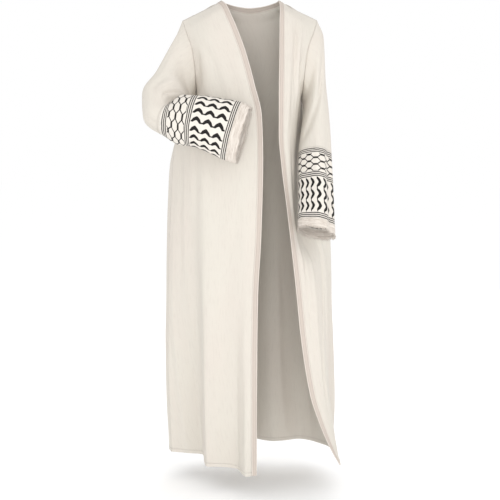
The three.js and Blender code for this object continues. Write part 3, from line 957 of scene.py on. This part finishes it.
@dataclass(frozen=True)
class FrontBandCloth:
    """A woven band, darker than the panels, with paler edges and a stitch line along each."""

    name: str
    ground: Colour = linear(204, 192, 182)
    edge: Colour = linear(222, 213, 204)

    def build(self) -> bpy.types.Material:
        """Make the material.

        Returns:
            The material.
        """
        shader = Shader(self.name)
        across, up = shader.cloth_coordinates()
        half = BAND_WIDTH * MM / 2
        from_centre = abs(across - half)
        rim = from_centre.eased(half - 0.0034, half - 0.0014)
        patches = shader.noise(across * 40, up * 14, 3.0)
        threads = shader.noise(across * 1500, up * 260, 2.0, 2.0)
        ribs = (up * (math.tau / 0.0021)).wave() * 0.5 + 0.5
        worn = patches * 0.5 + threads * 0.3
        colour = shader.blend(worn, self.ground, darker(self.ground, 0.86))
        colour = shader.blend(rim * 0.85, colour, self.edge)
        groove = abs(from_centre - (half - 0.0040)).eased(0.0011, 0.0003)
        dashes = groove * abs(up.from_middle(0.0032)).eased(0.0013, 0.0009)
        # Painted shade in the groove of each stitch line, a little less on the raised stitches.
        colour = shader.blend(groove * 0.45 - dashes * 0.25, colour, darker(self.ground, 0.6))
        height = threads * 0.4 + ribs * 0.2 + rim * 0.5 - groove * 0.8 + dashes * 0.5
        return shader.finish(colour, 0.74 + patches * 0.1, height, 0.0007, 0.08)


@dataclass(frozen=True)
class PatternedCuffCloth:
    """Off-white cotton with the traditional black fishnet and leaf rows between groups of stripes.

    Distances run round the cuff and from the sleeve to the mouth. Sizes are in metres.
    """

    name: str
    girth: float = CUFF_GIRTH * MM
    stripes_each: int = 3
    stripe_pitch: float = 0.0056
    stripe_half: float = 0.0014
    top_stripes: float = 0.0006
    net_start: float = 0.0185
    net_end: float = 0.0752
    net_columns: int = 16
    net_rise: float = 0.0215
    bar_half: float = 0.0044
    bar_radius: float = 0.0030
    link_start: float = 0.0056
    link_half: float = 0.0020
    middle_stripes: float = 0.0756
    leaf_start: float = 0.0930
    leaf_rows: int = 18
    leaf_period: float = 0.0342
    leaf_climb: float = 0.0100
    leaf_middle: float = 0.0036
    thread_half: float = 0.0015
    leaf_swell: float = 0.0031
    leaf_end: float = 0.1956
    lower_stripes: float = 0.1960
    ground: Colour = linear(228, 222, 213)
    black: Colour = linear(20, 16, 15)

    def build(self) -> bpy.types.Material:
        """Make the material.

        Returns:
            The material.
        """
        shader = Shader(self.name)
        across, along = shader.cloth_coordinates()
        wander = shader.noise(across * 90, along * 90, 2.0) - 0.5
        side = across + wander * 0.0009
        down = along + (shader.noise(across * 80, along * 80, 2.0, 5.0) - 0.5) * 0.0009
        dark = self.stripes(down, self.top_stripes)
        dark = dark.most(self.stripes(down, self.middle_stripes))
        dark = dark.most(self.stripes(down, self.lower_stripes))
        dark = dark.most(self.net(side, down)).most(self.leaves(side, down))
        threads = shader.noise(across * 1900, along * 420, 2.0, 1.0)
        weft = shader.noise(across * 380, along * 1900, 2.0, 4.0)
        patches = shader.noise(across * 16, along * 16, 3.0, 9.0)
        soiled = threads * 0.35 + patches * 0.35
        colour = shader.blend(soiled, self.ground, darker(self.ground, 0.84))
        worn = dark * (1 - weft.eased(0.55, 0.8) * 0.08)
        colour = shader.blend(worn, colour, self.black)
        height = threads * 0.35 + weft * 0.35 + dark * 0.5
        return shader.finish(colour, 0.82 - dark * 0.12, height, 0.0006, 0.06)

    def stripes(self, down: Value, start: float) -> Value:
        """Three thin stripes round the cuff.

        Args:
            down: Distance from the top of the band.
            start: Where the group begins.

        Returns:
            1 on a stripe and 0 beside it.
        """
        middle = start + self.stripe_pitch / 2
        line = abs((down - middle).from_middle(self.stripe_pitch))
        group = down.within(start, start + self.stripes_each * self.stripe_pitch, 0.0002)
        return line.eased(self.stripe_half + 0.0004, self.stripe_half - 0.0003) * group

    def net(self, side: Value, down: Value) -> Value:
        """The fishnet: short thick bars round the cuff, joined by thin slanting ones.

        Args:
            side: Distance round the cuff.
            down: Distance from the top of the band.

        Returns:
            1 on a cord of the net and 0 in its holes.
        """
        pitch = self.girth / self.net_columns
        half_rise = self.net_rise / 2
        column = (side / pitch + 0.5).floor()
        shift = abs(column.math("MODULO", 2.0)) * half_rise
        from_bar = abs(side.from_middle(pitch))
        from_row = (down - self.net_start - 0.0045 + shift).from_middle(self.net_rise)
        level = abs(from_row)
        end = (from_bar - self.bar_half).most(0.0)
        from_bar_middle = (end * end + level * level).math("SQRT")
        bar = from_bar_middle.eased(self.bar_radius + 0.0004, self.bar_radius - 0.0004)
        slope = half_rise / (pitch - 2 * self.link_start)
        slant = abs(level - (from_bar - self.link_start) * slope)
        link = slant.eased(self.link_half + 0.0004, self.link_half - 0.0004)
        link = link * from_bar.eased(self.link_start - 0.0006, self.link_start + 0.0002)
        return bar.most(link) * down.within(self.net_start, self.net_end, 0.0003)

    def leaves(self, side: Value, down: Value) -> Value:
        """Rows of bent leaves along the arm, each joined to the next by a thin thread.

        Args:
            side: Distance round the cuff.
            down: Distance from the top of the band.

        Returns:
            1 on a leaf or thread and 0 beside it.
        """
        pitch = self.girth / self.leaf_rows
        run = ((down - self.leaf_start) / self.leaf_period).fraction()
        off = run - 0.46
        climb = (1 - (off * off + 0.006).math("SQRT") / 0.44).most(0.0)
        crest = climb * self.leaf_climb - self.leaf_middle
        level = abs(side.from_middle(pitch) - crest)
        half = self.thread_half + run.within(0.10, 0.84, 0.09) * self.leaf_swell
        leaf = (level - half).eased(0.0005, -0.0004)
        return leaf * down.within(self.leaf_start, self.leaf_end, 0.0002)


@dataclass(frozen=True)
class FringeCotton:
    """Soft brushed cotton in long streaks that run round the cuff, with painted shade in their hollows."""

    name: str
    light: Colour = linear(224, 216, 207)
    shade: Colour = linear(190, 179, 168)

    def build(self) -> bpy.types.Material:
        """Make the material.

        Returns:
            The material.
        """
        shader = Shader(self.name)
        across, along = shader.cloth_coordinates()
        streaks = shader.noise(across * 46, along * 620, 3.0)
        broad = shader.noise(across * 20, along * 190, 2.0, 4.0)
        fuzz = shader.noise(across * 1500, along * 1500, 2.0, 8.0)
        mixed = streaks * 0.6 + broad * 0.4
        # The hollows of the streaks take the shade colour: painted shade that follows the relief.
        colour = shader.blend(mixed.eased(0.36, 0.62), self.shade, self.light)
        height = streaks * 0.6 + broad * 0.3 + fuzz * 0.25
        return shader.finish(colour, 0.86 + fuzz * 0.08, height, 0.0013, 0.18)


# ------------------------------------------------------------------ sub-assemblies


@dataclass(frozen=True)
class Cut:
    """What a maker cut for one sheet: its flat width and length and its area, in metres."""

    width: float
    length: float
    area: float


def declare(
    sheet: Sheet, node: str, material: bpy.types.Material, cut: Cut,
) -> bpy.types.Object:
    """Dress a sheet, hang it from the root body, hide the CAD node that it stands for and log its area.

    Args:
        sheet: The finished sheet.
        node: The CAD node that it stands for.
        material: Its material.
        cut: Its flat size.

    Returns:
        The piece.
    """
    piece = sheet.piece
    piece.data.materials.append(material)
    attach(piece, "root")
    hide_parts(node)
    log.info("%s: one layer %.3f m2, cut %.3f m2", piece.name, sheet.area(), cut.area)
    return piece


@dataclass(frozen=True)
class Finishes:
    """The materials that the pieces share."""

    panel: bpy.types.Material
    sleeve: bpy.types.Material
    band: bpy.types.Material
    cuff: bpy.types.Material
    fringe: bpy.types.Material


@dataclass
class Body:
    """The two fronts, the back, the bands down the front edges and the band round the back of the neck."""

    finishes: Finishes
    cloth_thickness: float = 2.0
    band_thickness: float = 2.4
    band_rise: float = 0.5
    row: float = 5.0
    hem_row: float = 1.5
    fine_hem: float = 16.0
    front_columns: int = 92
    swung_columns: int = 62
    back_columns: int = 152
    band_columns: int = 12
    neck_rows: int = 12
    neck_columns: int = 90

    def __post_init__(self) -> None:
        """Set out the forms.

        The right front and the back run from the wearer's left to the right.
        """
        self.right = PanelForm(RIGHT_FRONT_LINES, True, RIGHT_FRONT_CREASES, -1)
        self.left = PanelForm(LEFT_FRONT_LINES, True, LEFT_FRONT_CREASES, 1)
        self.rear = PanelForm(BACK_LINES, False, BACK_CREASES, -1)

    def shares(self, form: PanelForm) -> np.ndarray:
        """Shares of the drop for a form's rows, a seam's half gap below the shoulder.

        Args:
            form: The front or back.

        Returns:
            One share for each row.
        """
        first = next(iter(form.lines.values()))
        length = first[0][2] - first[-1][2]
        shares = down_shares(length, self.row, self.hem_row, self.fine_hem)
        shares[0] = SEAM_GAP / 2 / length
        return shares

    def panel(self, name: str, form: PanelForm, columns: int, cut: Cut) -> bpy.types.Object:
        """Make a front or the back.

        Args:
            name: The piece's name.
            form: Its form.
            columns: How many columns its grid has.
            cut: Its flat size.

        Returns:
            The piece.
        """
        start = BAND_WIDTH + SEAM_GAP / 2 if form.banded else SEAM_GAP / 2
        cloth = form.surface(self.shares(form), columns, start, 0.0)
        sheet = Sheet(name, facing(cloth, form.outward), self.cloth_thickness)
        return declare(sheet, name.replace("_cloth", ""), self.finishes.panel, cut)

    def front_band(self, name: str, form: PanelForm, front: bpy.types.Object, cut: Cut) -> bpy.types.Object:
        """Make the band down a front edge, a little proud of the front that it is sewn to.

        Args:
            name: The piece's name.
            form: The front's form.
            front: The front that it is sewn to; not used.
            cut: Its flat size.

        Returns:
            The piece.
        """
        stop = BAND_WIDTH - SEAM_GAP / 2
        cloth = form.surface(self.shares(form), self.band_columns, 0.0, stop)
        place = np.linspace(-1.0, 1.0, self.band_columns)
        rise = self.band_rise * (1.0 - place**6)
        cloth.points += grid_normals(cloth.points) * form.outward * rise[None, :, None]
        sheet = Sheet(name, facing(cloth, form.outward), self.band_thickness)
        node = name.replace("_band", "")
        return declare(sheet, node, self.finishes.band, cut)

    def neck_band(self, cut: Cut) -> bpy.types.Object:
        """Make the band between the neck opening and the top of the back.

        Args:
            cut: Its flat size.

        Returns:
            The piece.
        """
        top = np.array([line[0] for line in BACK_LINES.values()], float)
        distances = distances_along(top)
        names = list(BACK_LINES)
        ends = distances[names.index("left_neck")], distances[names.index("right_neck")]
        seam = SmoothCurve(distances, top).at(np.linspace(*ends, self.neck_columns))
        opening_points = np.array(NECK_OPENING, float)
        along = distances_along(opening_points)
        gap = along[-1] * 0.0006
        where = np.linspace(gap, along[-1] - gap, self.neck_columns)
        opening = SmoothCurve(along, opening_points).at(where)
        shares = np.linspace(0.0, 0.985, self.neck_rows)
        points = opening[None] * (1 - shares[:, None, None]) + seam[None] * shares[:, None, None]
        points[:, 0, 1] += SEAM_GAP / 2
        points[:, -1, 1] += SEAM_GAP / 2
        across = np.broadcast_to((shares * BAND_WIDTH)[:, None], points.shape[:2])
        down = np.broadcast_to(where[None, :], points.shape[:2])
        rise = self.band_rise * np.sin(np.clip(shares, 0, 1) * math.pi)
        rise = rise[:, None] * np.sin(np.linspace(0, math.pi, self.neck_columns))[None, :] ** 0.5
        points[:, :, 2] += rise
        cloth = Cloth(points, np.stack([across, down], axis=2), np.ones(points.shape[:2]))
        sheet = Sheet("trim_back_neck_band", cloth, self.band_thickness)
        return declare(sheet, "trim_back_neck", self.finishes.band, cut)

    def build(self) -> dict[str, bpy.types.Object]:
        """Make all pieces of the body.

        Returns:
            The fronts and the back by name, for the sleeves to hang from.
        """
        right = self.panel("front_right_cloth", self.right, self.front_columns, Cut(0.42, 1.45, 0.43))
        left = self.panel("front_left_cloth", self.left, self.swung_columns, Cut(0.26, 1.47, 0.22))
        back = self.panel("back_cloth", self.rear, self.back_columns, Cut(0.86, 1.42, 0.91))
        self.front_band("trim_right_band", self.right, right, Cut(0.017, 1.64, 0.0275))
        self.front_band("trim_left_band", self.left, left, Cut(0.017, 1.55, 0.0262))
        self.neck_band(Cut(0.025, 0.24, 0.0045))
        return {"right": right, "left": left, "back": back}


def facing(cloth: Cloth, outward: int) -> Cloth:
    """Turn a sheet's columns round where they run towards the wearer's right, so that it faces outward.

    Args:
        cloth: The sheet.
        outward: 1 where its columns run to the left, -1 to the right.

    Returns:
        The sheet, facing outward.
    """
    if outward > 0:
        return cloth
    return Cloth(cloth.points[:, ::-1], cloth.uv[:, ::-1], cloth.thickness[:, ::-1])


@dataclass
class Sleeve:
    """One sleeve with its patterned band, its edging and the fringe at its mouth."""

    side: Side
    form: SleeveForm
    finishes: Finishes
    seam_angle: float
    band_length: float
    edging_length: float
    pattern_drop: float
    cuts: tuple[Cut, Cut, Cut]
    seed: int
    cloth_thickness: float = 1.2
    edging_thickness: float = 1.8
    columns: int = 152
    sleeve_row: float = 4.5
    band_row: float = 3.2
    edging_row: float = 1.1
    rib_pitch: float = 7.5
    rib_rise: float = 0.7
    threads: int = 620
    thread_radius: float = 0.5
    thread_lengths: tuple[float, float] = (6.0, 10.5)
    thread_hold: float = 2.5
    thread_reach: float = 5.0

    @property
    def word(self) -> str:
        """The side's name, as the nodes have it."""
        return self.side.name.lower()

    def tube(self, start: float, stop: float, row: float) -> tuple[Cloth, np.ndarray]:
        """Lay a grid round the sleeve between two distances along it.

        Args:
            start: The first row's distance from the armhole.
            stop: The last row's distance.
            row: The distance between rows.

        Returns:
            The sheet, and the share of the way round of each column.
        """
        along = np.linspace(start, stop, max(2, int((stop - start) / row) + 1))
        shares = np.linspace(0.0, 1.0, self.columns + 1)
        turn = -self.side.value
        angles = self.seam_angle + turn * 360.0 * shares
        points = self.form.surface(angles, along)
        points[:, -1] = points[:, 0]
        across = np.broadcast_to(shares * CUFF_GIRTH, points.shape[:2])
        down = np.broadcast_to((along - start)[:, None], points.shape[:2])
        uv = np.stack([across, down], axis=2)
        return Cloth(points, uv, np.ones(points.shape[:2])), shares

    def outward(self, points: np.ndarray) -> np.ndarray:
        """The outward side of each point of a tube."""
        wrapped = np.concatenate([points[:, -2:-1], points, points[:, 1:2]], axis=1)
        return grid_normals(wrapped)[:, 1:-1]

    def edging(self, start: float, mouth: float) -> Cloth:
        """The ribbed edging, a little uneven at the mouth.

        Args:
            start: The first row's distance from the armhole.
            mouth: The last row's distance.

        Returns:
            The sheet.
        """
        cloth, shares = self.tube(start, mouth, self.edging_row)
        reach = cloth.uv[:, :, 1]
        ribs = self.rib_rise * (0.5 - 0.5 * np.cos(reach / self.rib_pitch * math.tau))
        turns = shares[None, :] * math.tau
        ribs = ribs + 0.5 * np.sin(turns * 9 + 1.0) * np.sin(reach / 20) + 0.35 * np.sin(turns * 23 + 2.0)
        cloth.points += self.outward(cloth.points) * ribs[:, :, None]
        down = np.gradient(cloth.points, axis=0)
        down /= np.linalg.norm(down, axis=2, keepdims=True)
        uneven = 0.9 * np.sin(turns * 7 + 0.6) + 0.7 * np.sin(turns * 17 + 2.2) + 0.4 * np.sin(turns * 41)
        cloth.points += down * (uneven * smooth_step(reach / reach[-1:] * 2 - 1))[:, :, None]
        cloth.points[:, -1] = cloth.points[:, 0]
        return cloth

    def fringe(self, cloth: Cloth) -> bpy.types.Object:
        """Short loose threads along the mouth, joined into one mesh.

        Args:
            cloth: The edging, whose last row is the mouth.

        Returns:
            The threads.
        """
        pick = random.Random(self.seed)
        bm = bmesh.new()
        edge = cloth.points[-1, :-1]
        inner = cloth.points[-4, :-1]
        outward = self.outward(cloth.points)[-1, :-1]
        count = len(edge)
        for _ in range(self.threads):
            place = pick.random() * count
            first = int(place) % count
            share = place - int(place)
            root = edge[first] * (1 - share) + edge[(first + 1) % count] * share
            way = edge[first] - inner[first]
            way = way / np.linalg.norm(way)
            side = np.cross(outward[first], way)
            way = way + side * pick.gauss(0, 0.28) + outward[first] * pick.gauss(0.05, 0.16)
            length = pick.uniform(*self.thread_lengths)
            radius = self.thread_radius * pick.uniform(0.7, 1.1)
            self.thread(bm, root - way * self.thread_hold, Vector(way).normalized(), length, radius)
        mesh = bpy.data.meshes.new(f"fringe_{self.word}")
        bm.to_mesh(mesh)
        bm.free()
        mesh.polygons.foreach_set("use_smooth", np.ones(len(mesh.polygons), dtype=bool))
        mesh.uv_layers.new(name=CLOTH_UV)
        piece = bpy.data.objects.new(mesh.name, mesh)
        bpy.context.scene.collection.objects.link(piece)
        piece.data.materials.append(self.finishes.fringe)
        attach(piece, "root")
        return piece

    def thread(
        self, bm: bmesh.types.BMesh, root: np.ndarray, way: Vector, length: float, radius: float
    ) -> None:
        """Add one thread, a little thinner at its tip.

        Args:
            bm: The mesh that it joins.
            root: Where it starts, in millimetres.
            way: Where it points.
            length: How long it is.
            radius: How thick it is at its root.
        """
        turn = way.to_track_quat("Z", "Y").to_matrix().to_4x4()
        middle = Vector(root) + way * (length / 2)
        place = Matrix.Scale(MM, 4) @ Matrix.Translation(middle) @ turn
        bmesh.ops.create_cone(
            bm, cap_ends=True, segments=4, radius1=radius, radius2=radius * 0.55, depth=length, matrix=place
        )

    def build(self, hung_from: Sequence[bpy.types.Object]) -> None:
        """Make the sleeve and what is sewn to it.

        Args:
            hung_from: The panels round its armhole; not used.
        """
        whole = self.form.length()
        band_end = whole - self.edging_length
        band_start = band_end - self.band_length
        half_gap = SEAM_GAP / 2
        sleeve_cut, band_cut, edging_cut = self.cuts
        cloth, _ = self.tube(0.0, band_start - half_gap, self.sleeve_row)
        cloth.uv[:, :, 1] = band_start - cloth.uv[:, :, 1]
        sheet = Sheet(f"sleeve_{self.word}_cloth", cloth, self.cloth_thickness, joined=True)
        sleeve = declare(
            sheet, f"sleeve_{self.word}", self.finishes.sleeve, sleeve_cut
        )
        cloth, _ = self.tube(band_start + half_gap, band_end - half_gap, self.band_row)
        cloth.uv[:, :, 1] -= self.pattern_drop
        sheet = Sheet(f"cuff_band_{self.word}_cloth", cloth, self.cloth_thickness, joined=True)
        band = declare(
            sheet, f"cuff_band_{self.word}", self.finishes.cuff, band_cut
        )
        cloth = self.edging(band_end + half_gap, whole - self.thread_reach)
        sheet = Sheet(f"cuff_edging_{self.word}_cloth", cloth, self.edging_thickness, joined=True)
        fringe = self.fringe(cloth)
        declare(
            sheet, f"cuff_edging_{self.word}", self.finishes.fringe, edging_cut,
        )


# ------------------------------------------------------------------ studio


@dataclass(frozen=True)
class Studio:
    """The camera, the pale floor and the soft lights. Sizes are in metres."""

    eye: Triple = (0.0, -3.45, -0.40)
    target: Triple = (0.0, 0.0, -0.765)
    lens: float = 80.06
    floor_drop: float = -1.50
    floor_size: float = 40.0
    lamps: Sequence[tuple[str, Triple, float, float]] = (
        ("key", (1.7, -3.6, 0.9), 1.8, 22.0),
        ("front", (-0.1, -3.9, -0.5), 1.4, 34.0),
        ("rear", (0.9, 3.6, 0.8), 2.2, 34.0),
    )

    def camera(self) -> None:
        """Set up the camera.

        It stands in front of the cloak, a little above the waist, and looks slightly down.
        """
        data = bpy.data.cameras.new("camera")
        data.lens = self.lens
        data.sensor_width = 36.0
        camera = bpy.data.objects.new("camera", data)
        camera.location = self.eye
        way = Vector(self.target) - Vector(self.eye)
        camera.rotation_euler = way.to_track_quat("-Z", "Y").to_euler()
        bpy.context.scene.collection.objects.link(camera)
        bpy.context.scene.camera = camera

    def floor(self) -> None:
        """Lay the floor under the wearer's feet.

        It is a plain white sheet that goes with the studio and not with the cloak.
        """
        mesh = bpy.data.meshes.new("floor")
        bm = bmesh.new()
        place = Matrix.Translation((0.0, 0.0, self.floor_drop))
        bmesh.ops.create_grid(bm, x_segments=1, y_segments=1, size=self.floor_size / 2, matrix=place)
        bm.to_mesh(mesh)
        bm.free()
        floor = bpy.data.objects.new("floor", mesh)
        bpy.context.scene.collection.objects.link(floor)
        shader = Shader("floor_white")
        paint = {"Base Color": (1.0, 1.0, 1.0, 1.0), "Roughness": 1.0, "Specular IOR Level": 0.0}
        surface = shader.node("ShaderNodeBsdfPrincipled", {}, paint)
        shader.node("ShaderNodeOutputMaterial", {}, {0: surface.outputs[0]})
        mesh.materials.append(shader.material)

    def light(self, name: str, place: Triple, size: float, power: float) -> None:
        """Hang a soft square light that points at the middle of the cloak.

        Args:
            name: The light's name.
            place: Where it hangs.
            size: How wide it is.
            power: Its power in watts.
        """
        data = bpy.data.lights.new(name, "AREA")
        data.size = size
        data.energy = power
        lamp = bpy.data.objects.new(name, data)
        lamp.location = place
        lamp.rotation_euler = (Vector(self.target) - Vector(place)).to_track_quat("-Z", "Y").to_euler()
        bpy.context.scene.collection.objects.link(lamp)

    def build(self) -> None:
        """Set up everything round the cloak.

        The world is white, so the lights only add a soft direction.
        """
        self.camera()
        self.floor()
        world = bpy.data.worlds.new("studio")
        world.use_nodes = True
        background = world.node_tree.nodes["Background"]
        background.inputs["Color"].default_value = (1.0, 1.0, 1.0, 1.0)
        background.inputs["Strength"].default_value = 1.0
        bpy.context.scene.world = world
        bpy.context.scene.view_settings.view_transform = "Standard"
        for name, place, size, power in self.lamps:
            self.light(name, place, size, power)


def main() -> None:
    """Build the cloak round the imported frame, and report each piece.

    The studio and the finishes come first, then the body, and the sleeves hang from the body.
    """
    logging.basicConfig(level=logging.INFO, format="%(message)s")
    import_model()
    Studio().build()
    finishes = Finishes(
        panel=CreamCrepe("cream_crepe_panel", HEM_DEPTH * MM).build(),
        sleeve=CreamCrepe("cream_crepe_sleeve", 0.0035).build(),
        band=FrontBandCloth("front_band").build(),
        cuff=PatternedCuffCloth("patterned_cuff").build(),
        fringe=FringeCotton("fringe_cotton").build(),
    )
    panels = Body(finishes).build()
    right_form = SleeveForm(
        Side.RIGHT, RIGHT_FRONT_ARMHOLE, RIGHT_BACK_ARMHOLE, RIGHT_SIDE_SEAM[0],
        RIGHT_SLEEVE_RINGS, RIGHT_SLEEVE_FOLDS + RIGHT_SLEEVE_CREASES,
    )
    left_form = SleeveForm(
        Side.LEFT, LEFT_FRONT_ARMHOLE, LEFT_BACK_ARMHOLE, LEFT_SIDE_SEAM[0],
        LEFT_SLEEVE_RINGS, LEFT_SLEEVE_FOLDS + LEFT_SLEEVE_CREASES,
    )
    right_cuts = Cut(0.48, 0.36, 0.107), Cut(0.39, 0.218, 0.0820), Cut(0.42, 0.030, 0.0120)
    left_cuts = Cut(0.48, 0.36, 0.112), Cut(0.40, 0.214, 0.0835), Cut(0.42, 0.026, 0.0105)
    right = Sleeve(
        Side.RIGHT, right_form, finishes, seam_angle=270.0, band_length=218.0, edging_length=35.0,
        pattern_drop=4.6, cuts=right_cuts, seed=11,
    )
    left = Sleeve(
        Side.LEFT, left_form, finishes, seam_angle=205.0, band_length=214.0, edging_length=31.0,
        pattern_drop=0.0, cuts=left_cuts, seed=12,
    )
    right.build([panels["right"], panels["back"]])
    left.build([panels["left"], panels["back"]])


if __name__ == "__main__":
    main()
